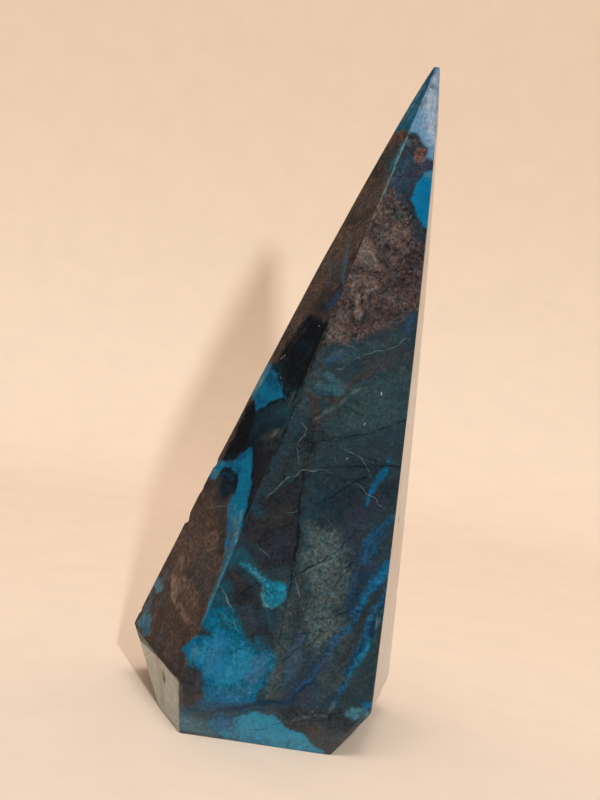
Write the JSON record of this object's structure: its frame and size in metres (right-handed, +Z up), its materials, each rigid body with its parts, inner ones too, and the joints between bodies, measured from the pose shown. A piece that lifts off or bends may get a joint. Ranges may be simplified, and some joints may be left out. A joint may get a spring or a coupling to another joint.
{
  "type": "polished stone point",
  "caption": "Tall faceted stone tower, leaning to a blunt tip, that stands on a flat base as an ornament or paperweight.",
  "frame": {"origin": "middle of the bottom of the stone's box, on the surface it stands on", "axes": "+Z up, -Y out of the wide front facet, +X to the side that the tip leans to"},
  "size_m": [0.0478, 0.0428, 0.115],
  "materials": {
    "stone": null
  },
  "bodies": {
    "root": {"turquoise_point": "stone"}
  },
  "joints": []
}
